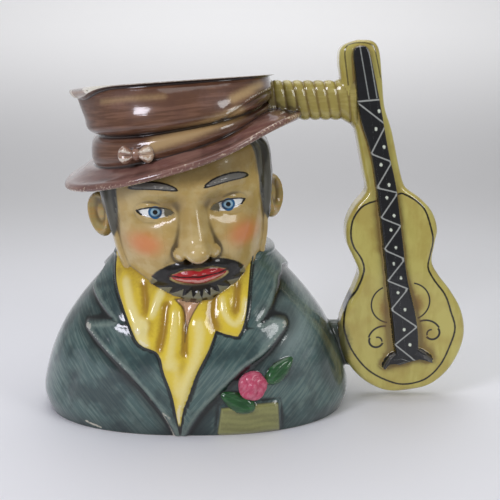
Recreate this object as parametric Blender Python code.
"""Ceramic beer mug shaped as the head and shoulders of a man in a cocked hat, with a guitar as its handle.

Units are metres and +Z is up. The origin is the centre of the flat foot, and the figure faces -Y.
The mug is one hollow fired body. Each form (shoulders, head, crown, brim, guitar and so on) is a
closed body of its own that is joined to the others, and three hollows are then cut from the whole.
Stations are rows of (height, half-width, front depth, back depth) given as shares of the form's size.
"""

import math

import bmesh
import bpy
from mathutils import Matrix, Vector

# Clay
WALL = 0.0040
FLOOR = 0.0060

# Shoulders
BUST_HEIGHT = 0.0740
BUST_HALF_WIDTH = 0.0685
BUST_HALF_DEPTH = 0.0425
BUST_ROUNDNESS = 2.25
BUST_STATIONS = (
    (0.000, 0.000, 0.000, 0.000),
    (0.000, 0.700, 0.680, 0.680),
    (0.000, 0.930, 0.915, 0.915),
    (0.030, 0.975, 0.955, 0.955),
    (0.135, 1.000, 0.988, 0.988),
    (0.270, 0.970, 1.000, 0.988),
    (0.405, 0.920, 1.000, 0.976),
    (0.540, 0.847, 0.965, 0.940),
    (0.675, 0.745, 0.885, 0.894),
    (0.785, 0.643, 0.790, 0.847),
    (0.880, 0.555, 0.680, 0.800),
    (0.945, 0.490, 0.600, 0.776),
    (0.990, 0.440, 0.540, 0.730),
    (1.000, 0.000, 0.000, 0.000),
)

# Coat, scarf and pocket: outlines seen from the front, as shares of the half-width and the height
LAPEL_RAISE = 0.0018
SCARF_RAISE = 0.0026
POCKET_RAISE = 0.0012
COLLAR_BACK_FROM = 0.80
LAPEL_LEFT = (
    (-0.145, 0.03), (-0.263, 0.172), (-0.381, 0.311), (-0.498, 0.450), (-0.625, 0.580),
    (-0.628, 0.632), (-0.472, 0.639), (-0.542, 0.812), (-0.566, 0.927), (-0.560, 1.020),
    (-0.420, 1.020), (-0.360, 0.920), (-0.310, 0.800), (-0.290, 0.700), (-0.230, 0.600),
    (-0.160, 0.500), (-0.130, 0.345), (-0.090, 0.195), (-0.050, 0.040),
)
LAPEL_RIGHT = (
    (-0.015, 0.03), (0.139, 0.128), (0.293, 0.281), (0.447, 0.450), (0.555, 0.550),
    (0.566, 0.632), (0.434, 0.627), (0.486, 0.755), (0.504, 0.870), (0.470, 1.020),
    (0.380, 1.020), (0.280, 0.880), (0.250, 0.700), (0.150, 0.680), (0.030, 0.500),
    (-0.030, 0.300), (-0.050, 0.060),
)
SCARF_OUTLINE = (
    (-0.067, 0.02), (-0.022, 0.165), (0.023, 0.315), (0.086, 0.462), (0.153, 0.601),
    (0.223, 0.573), (0.295, 0.561), (0.337, 0.723), (0.343, 0.900), (0.120, 0.940),
    (-0.060, 0.640), (-0.160, 0.800), (-0.390, 0.980), (-0.381, 0.751), (-0.345, 0.619),
    (-0.283, 0.510), (-0.213, 0.480), (-0.168, 0.345), (-0.118, 0.195),
)
POCKET_OUTLINE = ((0.160, 0.020), (0.174, 0.165), (0.524, 0.190), (0.531, 0.045))

# Flower and leaves pinned on the coat
FLOWER_AT = (0.366, 0.303)
FLOWER_RADIUS = 0.0058
PETALS = 6
LEAVES = (
    ((0.442, 0.318), (0.612, 0.428), 0.0036),
    ((0.182, 0.262), (0.384, 0.168), 0.0038),
)

# Head: heights are shares of the distance from the eye line down to the underside of the chin
HEAD_SHIFT = -0.0035
HEAD_FORWARD = 0.0015
HEAD_HEIGHT = 0.0980
HEAD_YAW = math.radians(8.0)
HEAD_ROLL = math.radians(-5.0)
HEAD_PITCH = math.radians(5.0)
HEAD_DROP = 0.0440
HEAD_HALF_WIDTH = 0.0360
HEAD_HALF_DEPTH = 0.0400
HEAD_ROUNDNESS = 2.15
HEAD_STATIONS = (
    (-1.000, 0.000, 0.000, 0.000),
    (-0.985, 0.250, 0.420, 0.280),
    (-0.932, 0.470, 0.740, 0.440),
    (-0.841, 0.690, 0.890, 0.560),
    (-0.682, 0.833, 0.950, 0.675),
    (-0.455, 0.917, 0.965, 0.775),
    (-0.227, 0.950, 0.960, 0.875),
    (0.000, 0.986, 0.955, 0.950),
    (0.205, 1.000, 0.960, 0.975),
    (0.455, 0.958, 0.880, 0.950),
    (0.560, 0.700, 0.700, 0.700),
    (0.600, 0.000, 0.000, 0.000),
)
HEAD_TUCK = 0.10
HEAD_TUCK_OVER = 0.0055
HOLLOW_STRETCH = 1.1
LOWER_FACE_SCALE = 1.09
EAR_HALF_THICKNESS = 0.0045
EAR_HALF_DEPTH = 0.0068
EAR_HALF_HEIGHT = 0.0098
EAR_RISE = -0.17
NOSE_LENGTH = 0.0215
NOSE_REACH = 0.0100

# Hat: the brim lies in a plane that falls to the figure's right side and to the front
HAT_SHIFT = -0.0045
HAT_HEIGHT = 0.1158
HAT_RISE_ACROSS = 0.285
HAT_RISE_BACK = 0.100
BRIM_HALF_WIDTH = 0.0505
BRIM_HALF_DEPTH = 0.0475
BRIM_DROP = 0.0047
BRIM_THICKNESS = 0.0032
BRIM_LIFT = 0.0025
BRIM_LIFT_AT = 0.74
CROWN_HALF_WIDTH = 0.0380
CROWN_HALF_DEPTH = 0.0400
CROWN_ROUNDNESS = 2.3
CREASE_HEIGHT = 0.1292
CREASE_RISE_ACROSS = 0.170
CREASE_RISE_BACK = 0.100
RIM_HEIGHT = 0.1434
RIM_RISE_ACROSS = 0.065
RIM_RISE_BACK = -0.025
LIP_REACH = 0.0045
LIP_SPREAD = 0.50
LIP_DIP = 0.0040
LIP_DIP_TURN = 0.45
LIP_DIP_SPREAD = 0.30
CROWN_STATIONS = (
    (-0.30, 0.000, 0.000, 0.000, 0.000),
    (-0.30, 0.940, 0.940, 0.920, 0.900),
    (0.00, 0.975, 0.970, 0.985, 0.960),
    (0.35, 1.000, 0.985, 1.020, 0.985),
    (0.75, 0.990, 0.980, 1.015, 0.980),
    (1.00, 0.960, 0.960, 0.980, 0.950),
    (1.18, 1.000, 0.980, 1.050, 1.025),
    (1.42, 1.020, 0.995, 1.065, 1.040),
    (1.70, 1.040, 0.990, 1.010, 0.980),
    (1.92, 1.050, 0.975, 0.935, 0.905),
    (2.00, 1.035, 0.955, 0.905, 0.875),
    (2.00, 0.000, 0.000, 0.000, 0.000),
)
BOW_AT = (-0.0185, 0.1175)
BOW_LOBE_HALF_WIDTH = 0.0046
BOW_LOBE_HALF_DEPTH = 0.0030
BOW_LOBE_HALF_HEIGHT = 0.0032

# Bar that joins the hat to the guitar's neck: it starts inside the crown's side and stops short of the
# guitar's middle line
BAR_ROOT = 0.0030
BAR_STOP = 0.0068
BAR_HEIGHT = 0.1352
BAR_HALF_HEIGHT = 0.0082
BAR_HALF_DEPTH = 0.0056
BAR_RIBS = 9
BAR_RIB_DEPTH = 0.0004
BAR_RIB_SLANT = 0.18
BAR_FLARE = 0.0040

# Guitar: (height, sideways shift, half-width) as shares of its length and half-width
GUITAR_FOOT_SHIFT = 0.0961
GUITAR_FOOT_HEIGHT = 0.0058
GUITAR_LEAN = math.radians(-8.5)
GUITAR_LENGTH = 0.1565
GUITAR_HALF_WIDTH = 0.0280
GUITAR_THICKNESS = 0.0140
GUITAR_EDGE = 0.0030
GUITAR_STATIONS = (
    (0.000, 0.000, 0.000),
    (0.008, 0.000, 0.340),
    (0.040, 0.000, 0.640),
    (0.085, 0.000, 0.845),
    (0.131, 0.000, 0.964),
    (0.178, 0.000, 1.000),
    (0.230, 0.000, 0.955),
    (0.284, 0.010, 0.815),
    (0.329, 0.015, 0.665),
    (0.371, 0.020, 0.575),
    (0.419, 0.020, 0.640),
    (0.463, 0.020, 0.707),
    (0.514, 0.010, 0.661),
    (0.556, 0.000, 0.510),
    (0.585, 0.000, 0.340),
    (0.606, 0.000, 0.280),
    (0.655, -0.029, 0.271),
    (0.751, -0.071, 0.264),
    (0.815, -0.130, 0.257),
    (0.891, -0.165, 0.300),
    (0.962, -0.160, 0.300),
    (0.991, -0.160, 0.215),
    (1.000, -0.160, 0.000),
)
BOARD_RAISE = 0.0028
BOARD_EDGE = 0.0008
BOARD_STATIONS = (
    (0.114, 0.020, 0.150),
    (0.150, 0.036, 0.190),
    (0.225, 0.040, 0.190),
    (0.340, 0.004, 0.160),
    (0.476, 0.004, 0.150),
    (0.600, -0.004, 0.150),
    (0.700, -0.045, 0.134),
    (0.805, -0.111, 0.164),
    (0.905, -0.132, 0.143),
    (0.975, -0.150, 0.100),
)
BRIDGE_AT = (0.096, 0.018)
BRIDGE_HALF_WIDTH = 0.0108
BRIDGE_HEIGHT = 0.0036

# Slip joint between the shoulder and the guitar's body, placed in the same way
JOINT_ROOT = 0.0185
JOINT_STOP = 0.0161
JOINT_HEIGHT = 0.0270
JOINT_HALF_HEIGHT = 0.0122
JOINT_HALF_DEPTH = 0.0060
JOINT_FLARE = 0.30

# Facets around and up each form
BUST_FACETS = (44, 28)
HEAD_FACETS = (48, 36)
CROWN_FACETS = (36, 18)
BRIM_FACETS = (40, 11)
HOLLOW_FACETS = (24, 14)
SMALL_FACETS = (8, 5)
FRONT_WEIGHT = 0.42


def mix(low, high, share):
    """Return the value that lies this share of the way from low to high."""
    return low + (high - low) * share


def ease(low, high, value):
    """Return a smooth step from 0 at low to 1 at high."""
    share = min(1.0, max(0.0, (value - low) / (high - low)))
    return share * share * (3.0 - 2.0 * share)


def bump(value, centre, spread):
    """Return a bell curve of height 1."""
    return math.exp(-((value - centre) / spread) ** 2)


def signed_power(value, power):
    """Raise a value to a power and keep its sign."""
    return math.copysign(abs(value) ** power, value)


def along(stations, share):
    """Read a row of numbers from a smooth curve through the stations."""
    position = min(1.0, max(0.0, share)) * (len(stations) - 1)
    index = min(int(position), len(stations) - 2)
    part = position - index
    rows = [stations[min(max(index + step, 0), len(stations) - 1)] for step in (-1, 0, 1, 2)]
    values = []
    for before, start, end, after in zip(*rows):
        leave = (end - before) / 2.0
        arrive = (after - start) / 2.0
        cubic = 2.0 * (start - end) + leave + arrive
        square = 3.0 * (end - start) - 2.0 * leave - arrive
        values.append(((cubic * part + square) * part + leave) * part + start)
    return values


def section(turn, roundness):
    """Return the direction of a point on a rounded cross-section of half-width and half-depth 1."""
    power = 2.0 / roundness
    return signed_power(math.cos(turn), power), signed_power(math.sin(turn), power)


def face_front(turn):
    """Crowd the facets towards the front of the figure, where the carving is."""
    return turn - FRONT_WEIGHT * math.cos(turn)


def material(name, colour, roughness):
    """Make the glazed clay's material."""
    made = bpy.data.materials.new(name)
    made.use_nodes = True
    shader = made.node_tree.nodes["Principled BSDF"]
    shader.inputs["Base Color"].default_value = (*colour, 1.0)
    shader.inputs["Roughness"].default_value = roughness
    shader.inputs["Metallic"].default_value = 0.0
    return made


def collect(name):
    """Make a collection in the scene."""
    made = bpy.data.collections.new(name)
    bpy.context.scene.collection.children.link(made)
    return made


def add_object(name, mesh, collection):
    """Turn a bmesh into an object of this collection, its faces pointing out."""
    bmesh.ops.recalc_face_normals(mesh, faces=mesh.faces)
    if mesh.calc_volume(signed=True) < 0.0:
        bmesh.ops.reverse_faces(mesh, faces=mesh.faces)
    data = bpy.data.meshes.new(name)
    mesh.to_mesh(data)
    mesh.free()
    made = bpy.data.objects.new(name, data)
    collection.objects.link(made)
    return made


def lump(name, place, facets, collection):
    """Add a closed body: a UV sphere whose points are moved by place(turn, level)."""
    around, up = facets
    mesh = bmesh.new()
    bmesh.ops.create_uvsphere(mesh, u_segments=around, v_segments=up, radius=1.0)
    for vertex in mesh.verts:
        level = 1.0 - math.acos(min(1.0, max(-1.0, vertex.co.z))) / math.pi
        turn = math.atan2(vertex.co.y, vertex.co.x)
        vertex.co = place(turn, level)
    return add_object(name, mesh, collection)


def pebble(name, frame, size, collection, facets=SMALL_FACETS):
    """Add an ellipsoid of these half-sizes in a frame."""
    mesh = bmesh.new()
    shape = frame @ Matrix.Diagonal((*size, 1.0))
    bmesh.ops.create_uvsphere(mesh, u_segments=facets[0], v_segments=facets[1], radius=1.0, matrix=shape)
    return add_object(name, mesh, collection)


def plate(name, outline, back, front, edge, collection):
    """Add a plate with this outline in X and Z between two depths, its edges rounded front and back."""
    mesh = bmesh.new()
    corners = [mesh.verts.new((x, back, z)) for x, z in outline]
    base = mesh.faces.new(corners)
    moved = bmesh.ops.extrude_face_region(mesh, geom=[base])["geom"]
    raised = [item for item in moved if isinstance(item, bmesh.types.BMVert)]
    bmesh.ops.translate(mesh, verts=raised, vec=(0.0, front - back, 0.0))
    if edge > 0.0:
        rims = [item for item in mesh.edges if item.verts[0].co.y == item.verts[1].co.y]
        bmesh.ops.bevel(mesh, geom=rims, offset=edge, segments=2, profile=0.5, affect="EDGES", material=-1)
    return add_object(name, mesh, collection)


def cut_with(target, operation, tool):
    """Give an object a Boolean modifier; EXACT leaves pinched edges where these forms graze each other."""
    modifier = target.modifiers.new(f"{operation.lower()}_{tool.name}", "BOOLEAN")
    modifier.operation = operation
    modifier.solver = "MANIFOLD"
    modifier.object = tool


def bust_point(turn, level, grow=0.0):
    """Place a point of the shoulders, grown outwards or shrunk by this much."""
    rise, side, front, back = along(BUST_STATIONS, level)
    across, deep = section(face_front(turn), BUST_ROUNDNESS)
    depth = front if deep < 0.0 else back
    solid = min(1.0, side * 2.0)
    x = across * (side * BUST_HALF_WIDTH + grow * solid)
    y = deep * (depth * BUST_HALF_DEPTH + grow * solid)
    return Vector((x, y, max(0.0, rise) * BUST_HEIGHT))


def bust_hollow_point(turn, level):
    """Place a point of the hollow in the shoulders, a wall inside the outer form."""
    point = bust_point(turn, level, -WALL)
    point.z = mix(FLOOR, BUST_HEIGHT - WALL, point.z / BUST_HEIGHT)
    return point


def bust_front(across, up):
    """Find the point and the outward direction on the coat's front at shares of its width and height."""
    rises = [row[0] for row in BUST_STATIONS[2:-1]]
    step = max(index for index, rise in enumerate(rises[:-1]) if rise <= up)
    share = (up - rises[step]) / (rises[step + 1] - rises[step])
    side, front = (mix(low, high, share) for low, high in
                   zip(BUST_STATIONS[step + 2][1:3], BUST_STATIONS[step + 3][1:3]))
    inside = max(0.0, 1.0 - abs(across / side) ** BUST_ROUNDNESS) ** (1.0 / BUST_ROUNDNESS)
    point = Vector((across * BUST_HALF_WIDTH, -front * inside * BUST_HALF_DEPTH, up * BUST_HEIGHT))
    outward = Vector((point.x / BUST_HALF_WIDTH ** 2, point.y / BUST_HALF_DEPTH ** 2, 0.0)).normalized()
    return point, (outward + Vector((0.0, 0.0, 0.25))).normalized()


def coat_outline(shares):
    """Turn an outline in shares of the coat into metres."""
    return [(across * BUST_HALF_WIDTH, up * BUST_HEIGHT) for across, up in shares]


def cloth_layer(name, outline, thickness, collection):
    """Add a layer of cloth on the shoulders: the grown form inside an upright prism."""
    layer = lump(name, lambda turn, level: bust_point(turn, level, thickness), BUST_FACETS, collection)
    prism = plate(name + "_prism", coat_outline(outline), -BUST_HALF_DEPTH * 0.2, -BUST_HALF_DEPTH * 2.0, 0.0,
                  bpy.data.collections["guides"])
    cut_with(layer, "INTERSECT", prism)


def back_collar(collection):
    """Add the part of the coat's collar that runs round the back of the neck."""
    def place(turn, level):
        """Place a point of the shoulders grown by the collar's thickness."""
        return bust_point(turn, level, LAPEL_RAISE)

    layer = lump("collar_back", place, BUST_FACETS, collection)
    low = COLLAR_BACK_FROM * BUST_HEIGHT
    reach = BUST_HALF_WIDTH * 1.2
    mesh = bmesh.new()
    centre = Matrix.Translation((0.0, BUST_HALF_DEPTH, low + BUST_HEIGHT / 2.0))
    size = Matrix.Diagonal((reach * 2.0, BUST_HALF_DEPTH * 2.3, BUST_HEIGHT, 1.0))
    bmesh.ops.create_cube(mesh, size=1.0, matrix=centre @ size)
    cut_with(layer, "INTERSECT", add_object("collar_box", mesh, bpy.data.collections["guides"]))


def surface_frame(point, outward, up_turn=0.0):
    """Make a frame on a surface: X across it, Y into it and Z up it, turned about the outward direction."""
    inward = -outward.normalized()
    across = inward.cross(Vector((0.0, 0.0, 1.0))).normalized()
    rise = across.cross(inward)
    frame = Matrix((across, inward, rise)).transposed().to_4x4()
    return Matrix.Translation(point) @ frame @ Matrix.Rotation(up_turn, 4, "Y")


def flower_and_leaves(collection):
    """Add the flower with its ring of petals and the two leaves."""
    centre, outward = bust_front(*FLOWER_AT)
    frame = surface_frame(centre, outward)
    heart = FLOWER_RADIUS * 0.45
    pebble("flower_heart", frame, (heart, LAPEL_RAISE + heart, heart), collection)
    petal = FLOWER_RADIUS * 0.42
    for index in range(PETALS):
        angle = math.tau * index / PETALS
        reach = FLOWER_RADIUS - petal
        offset = Matrix.Translation((math.cos(angle) * reach, 0.0, math.sin(angle) * reach))
        pebble(f"petal_{index}", frame @ offset, (petal, LAPEL_RAISE + petal * 0.8, petal), collection)
    for index, (start, end, half_width) in enumerate(LEAVES):
        tip, outward = bust_front(*end)
        root, _ = bust_front(*start)
        run = tip - root
        tilt = -math.atan2(run.z, run.x)
        place = surface_frame((root + tip) / 2.0, outward, tilt)
        pebble(f"leaf_{index}", place, (run.length / 2.0, half_width, half_width), collection)


def head_frame():
    """Return the head's own frame: its origin on the eye line, -Y out of the face."""
    turned = (Matrix.Rotation(HEAD_YAW, 4, "Z") @ Matrix.Rotation(HEAD_ROLL, 4, "Y")
              @ Matrix.Rotation(HEAD_PITCH, 4, "X"))
    return Matrix.Translation((HEAD_SHIFT, -HEAD_FORWARD, HEAD_HEIGHT)) @ turned


def face_relief(x, z):
    """Return how far the face stands out at a place, both measured in head drops."""
    z *= LOWER_FACE_SCALE if z < 0.0 else 1.0
    nose_top = 0.10
    nose_tip = nose_top - NOSE_LENGTH / HEAD_DROP
    down = (nose_top - z) / (nose_top - nose_tip)
    ridge = ease(0.0, 1.0, down) * (1.0 - ease(0.97, 1.16, down))
    width = mix(0.075, 0.135, min(1.0, max(0.0, down)))
    reach = NOSE_REACH / HEAD_DROP
    nose = reach * ridge * bump(x, 0.0, width)
    nose += 0.45 * reach * bump(abs(x), 0.14, 0.07) * bump(down, 0.92, 0.16)
    eyes = -0.085 * bump(abs(x), 0.32, 0.17) * bump(z, 0.03, 0.13)
    lids = 0.060 * bump(abs(x), 0.32, 0.11) * bump(z, 0.0, 0.07)
    brow = 0.055 * bump(abs(x), 0.33, 0.24) * bump(z, 0.22, 0.09)
    cheeks = 0.040 * bump(abs(x), 0.47, 0.20) * bump(z, -0.30, 0.20)
    lips = 0.070 * bump(x, 0.0, 0.24) * bump(z, -0.62, 0.10)
    lips -= 0.050 * bump(x, 0.0, 0.22) * bump(z, -0.62, 0.03)
    chin = 0.070 * bump(x, 0.0, 0.26) * bump(z, -0.88, 0.11)
    beard = 0.035 * ease(0.52, 0.44, abs(x)) * ease(-0.66, -0.74, z)
    return (nose + eyes + lids + brow + cheeks + lips + chin + beard) * HEAD_DROP


def head_point(turn, level, shrink=0.0):
    """Place a point of the head, tucked in under the hat, or of its hollow that runs up into the crown."""
    rise, side, front, back = along(HEAD_STATIONS, level)
    across, deep = section(face_front(turn), HEAD_ROUNDNESS)
    depth = front if deep < 0.0 else back
    solid = min(1.0, side * 2.0)
    x = across * (side * HEAD_HALF_WIDTH - shrink * solid)
    y = deep * (depth * HEAD_HALF_DEPTH - shrink * solid)
    if shrink == 0.0:
        facing = ease(0.15, 0.55, -deep)
        y -= facing * face_relief(x / HEAD_DROP, rise)
        hair = LAPEL_RAISE * ease(-0.55, -0.15, deep) * ease(-0.75, -0.50, rise)
        x += across * hair
        y += deep * hair
    else:
        rise += HOLLOW_STRETCH * max(0.0, rise - HEAD_STATIONS[8][0])
    point = head_frame() @ Vector((x, y, rise * HEAD_DROP))
    if shrink == 0.0:
        above = point.z - brim_plane(point.x, point.y)
        tuck = 1.0 - HEAD_TUCK * ease(0.0, HEAD_TUCK_OVER, above)
        point.x = mix(HEAD_SHIFT, point.x, tuck)
        point.y *= tuck
    return point


def ears(collection):
    """Add both ears at the sides of the head."""
    for side in (-1.0, 1.0):
        place = Matrix.Translation(
            (side * HEAD_HALF_WIDTH * 1.06, EAR_HALF_DEPTH * 0.2, EAR_RISE * HEAD_DROP))
        size = (EAR_HALF_THICKNESS, EAR_HALF_DEPTH, EAR_HALF_HEIGHT)
        pebble(f"ear_{int(side)}", head_frame() @ place, size, collection, (12, 8))


def brim_plane(x, y):
    """Return the height of the brim's edge at a place; it curls up at the front of the high side."""
    across = (x - HAT_SHIFT) / BRIM_HALF_WIDTH
    curl = BRIM_LIFT * bump(across, BRIM_LIFT_AT, 0.28) * ease(0.0, -0.5, y / BRIM_HALF_DEPTH)
    return HAT_HEIGHT + (x - HAT_SHIFT) * HAT_RISE_ACROSS + y * HAT_RISE_BACK + curl


def brim_point(turn, level):
    """Place a point of the brim: a sloping skirt with a rounded edge."""
    drop = BRIM_DROP / BRIM_THICKNESS
    stations = (
        (0.00, 0.0), (0.60, 0.0), (0.86, -0.15), (0.97, -0.45), (1.00, -0.10), (0.985, 0.40),
        (0.93, 0.40 * drop), (0.85, 0.80 * drop), (0.78, drop + 0.1), (0.50, drop + 0.1), (0.00, drop + 0.1),
    )
    reach, rise = along(stations, level)
    across, deep = section(face_front(turn), 2.0)
    x = HAT_SHIFT + across * reach * BRIM_HALF_WIDTH
    y = deep * reach * BRIM_HALF_DEPTH
    return Vector((x, y, brim_plane(x, y) + rise * BRIM_THICKNESS))


def crown_height(rise, x, y, dip):
    """Return the height between the brim (0), the crease (1) and the rim (2) of the crown."""
    base = brim_plane(x, y) + BRIM_DROP
    crease = CREASE_HEIGHT + (x - HAT_SHIFT) * CREASE_RISE_ACROSS + y * CREASE_RISE_BACK
    rim = RIM_HEIGHT + (x - HAT_SHIFT) * RIM_RISE_ACROSS + y * RIM_RISE_BACK - LIP_DIP * dip
    if rise < 1.0:
        return mix(base, crease, rise)
    return mix(crease, rim, rise - 1.0)


def crown_point(turn, level, shrink=0.0, open_by=0.0):
    """Place a point of the crown, or of the hollow in it that runs out past the rim."""
    rise, left, right, front, back = along(CROWN_STATIONS, level)
    angle = face_front(turn)
    across, deep = section(angle, CROWN_ROUNDNESS)
    side = right if across > 0.0 else left
    depth = front if deep < 0.0 else back
    solid = min(1.0, side * 2.0)
    from_lip = (angle + math.tau) % math.tau - math.pi
    lip = bump(from_lip, 0.0, LIP_SPREAD) * max(0.0, rise - 1.0) * solid
    dip = bump(from_lip, LIP_DIP_TURN, LIP_DIP_SPREAD) * solid
    x = HAT_SHIFT + across * (side * CROWN_HALF_WIDTH - shrink * solid + LIP_REACH * lip)
    y = deep * (depth * CROWN_HALF_DEPTH - shrink * solid)
    z = crown_height(rise, x, y, dip) + open_by * ease(1.5, 2.0, rise)
    return Vector((x, y, z))


def bow(collection):
    """Add the small bow on the hat band: two lobes and a knot."""
    x, z = BOW_AT
    y = -CROWN_HALF_DEPTH * 0.99
    lobe = Vector((BOW_LOBE_HALF_WIDTH, BOW_LOBE_HALF_DEPTH, BOW_LOBE_HALF_HEIGHT))
    for index, offset in enumerate((-1.0, 0.0, 1.0)):
        size = lobe * (0.75 if offset == 0.0 else 1.0)
        place = Matrix.Translation((x + offset * lobe.x * 1.1, y, z + offset * lobe.z * 0.15))
        pebble(f"bow_{index}", place, size, collection)


def guitar_middle(height):
    """Return how far to the side the guitar's middle line is at a height."""
    return GUITAR_FOOT_SHIFT + math.tan(GUITAR_LEAN) * (height - GUITAR_FOOT_HEIGHT)


def bar_point(turn, level):
    """Place a point of the ribbed bar, whose rings lean like its ribs and which flares into the neck."""
    start = HAT_SHIFT + CROWN_HALF_WIDTH - BAR_ROOT
    end = guitar_middle(BAR_HEIGHT) - BAR_STOP
    turns = 2 * BAR_RIBS + 2
    run = mix(-1.0, 1.0, level)
    closing = min(1.0, (1.0 - abs(run)) * turns / 2.0)
    rib = BAR_RIB_DEPTH * math.cos(math.pi * turns * level)
    across, deep = section(turn, 3.2)
    z = across * (BAR_HALF_HEIGHT + rib + BAR_FLARE * ease(0.80, 1.0, level)) * closing
    y = deep * (BAR_HALF_DEPTH + rib) * closing
    lean = z * BAR_RIB_SLANT * (1.0 - run ** 4)
    return Vector((mix(start, end, level) - lean, y, BAR_HEIGHT + z))


def guitar_frame():
    """Return the guitar's own frame: its origin at the foot, Z up its leaning neck."""
    foot = Matrix.Translation((GUITAR_FOOT_SHIFT, 0.0, GUITAR_FOOT_HEIGHT))
    return foot @ Matrix.Rotation(GUITAR_LEAN, 4, "Y")


def flank(stations, samples):
    """Return both flanks of an outline from its stations, up the right side and down the left."""
    rows = [along(stations, index / (samples - 1)) for index in range(samples)]
    right = [((shift + half) * GUITAR_HALF_WIDTH, rise * GUITAR_LENGTH) for rise, shift, half in rows]
    left = [((shift - half) * GUITAR_HALF_WIDTH, rise * GUITAR_LENGTH)
            for rise, shift, half in reversed(rows)]
    return right + left


def without_repeats(outline):
    """Drop points of an outline that fall on their neighbour."""
    closest = GUITAR_EDGE / 10.0
    kept = []
    for point in outline:
        if not kept or math.dist(point, kept[-1]) > closest:
            kept.append(point)
    if math.dist(kept[0], kept[-1]) < closest:
        kept.pop()
    return kept


def bridge_outline():
    """Return the bridge at the foot of the fingerboard, with its ends turned down."""
    shift, rise = BRIDGE_AT[1] * GUITAR_HALF_WIDTH, BRIDGE_AT[0] * GUITAR_LENGTH
    half, tall = BRIDGE_HALF_WIDTH, BRIDGE_HEIGHT
    shape = ((-0.53, 1.42), (-0.94, 0.44), (-1.06, -0.50), (-0.88, -0.62), (-0.72, 0.20), (-0.33, -0.31),
             (0.10, -0.05), (0.53, 0.30), (0.88, -0.60), (1.06, -0.48), (0.97, 0.42), (0.58, 1.42))
    return [(shift + x * half, rise + z * tall) for x, z in shape]


def guitar(collection):
    """Add the guitar: its body, the raised fingerboard and the bridge."""
    front = -GUITAR_THICKNESS / 2.0
    outline = without_repeats(flank(GUITAR_STATIONS, 45))
    body = plate("guitar_body", outline, -front, front, GUITAR_EDGE, collection)
    board = plate("fingerboard", flank(BOARD_STATIONS, 14), 0.0, front - BOARD_RAISE, BOARD_EDGE, collection)
    bridge = plate("bridge", bridge_outline(), 0.0, front - BOARD_RAISE * 0.9, BOARD_EDGE / 2.0, collection)
    for piece in (body, board, bridge):
        piece.matrix_world = guitar_frame()


def joint_point(turn, level):
    """Place a point of the slip joint, which swells where it meets the shoulder and the guitar."""
    run = mix(-1.0, 1.0, level)
    closing = min(1.0, (1.0 - abs(run)) * 8.0)
    swell = (0.86 + JOINT_FLARE * run ** 4) * closing
    across, deep = section(turn, 2.6)
    x = mix(BUST_HALF_WIDTH - JOINT_ROOT, guitar_middle(JOINT_HEIGHT) - JOINT_STOP, level)
    return Vector((x, deep * JOINT_HALF_DEPTH * swell, JOINT_HEIGHT + across * JOINT_HALF_HEIGHT * swell))


def build():
    """Model the mug."""
    jug_parts = collect("ceramic_beer_mug")
    forms = collect("forms")
    hollows = collect("hollows")
    collect("guides")

    jug = lump("jug", bust_point, BUST_FACETS, jug_parts)
    cloth_layer("lapel_left", LAPEL_LEFT, LAPEL_RAISE, forms)
    cloth_layer("lapel_right", LAPEL_RIGHT, LAPEL_RAISE, forms)
    cloth_layer("scarf", SCARF_OUTLINE, SCARF_RAISE, forms)
    cloth_layer("pocket", POCKET_OUTLINE, POCKET_RAISE, forms)
    back_collar(forms)
    flower_and_leaves(forms)
    lump("head", head_point, HEAD_FACETS, forms)
    ears(forms)
    lump("brim", brim_point, BRIM_FACETS, forms)
    lump("crown", crown_point, CROWN_FACETS, forms)
    bow(forms)
    lump("bar", bar_point, (12, 2 * BAR_RIBS + 2), forms)
    lump("joint", joint_point, (16, 10), forms)
    guitar(forms)

    lump("bust_hollow", bust_hollow_point, HOLLOW_FACETS, hollows)
    lump("head_hollow", lambda turn, level: head_point(turn, level, WALL), HOLLOW_FACETS, hollows)
    lump("crown_hollow", lambda turn, level: crown_point(turn, level, WALL, WALL * 3.0), HOLLOW_FACETS,
         hollows)

    for form in forms.objects:
        cut_with(jug, "UNION", form)
    for hollow in hollows.objects:
        cut_with(jug, "DIFFERENCE", hollow)
    for guides in (forms, hollows, bpy.data.collections["guides"]):
        for guide in guides.objects:
            guide.hide_render = True
            guide.display_type = "WIRE"
    jug.data.materials.append(material("glazed_earthenware", (0.12, 0.15, 0.13), 0.2))
    jug.data.shade_smooth()
    jug.data.set_sharp_from_angle(angle=math.radians(40.0))


for leftover in list(bpy.data.objects):
    bpy.data.objects.remove(leftover)
build()
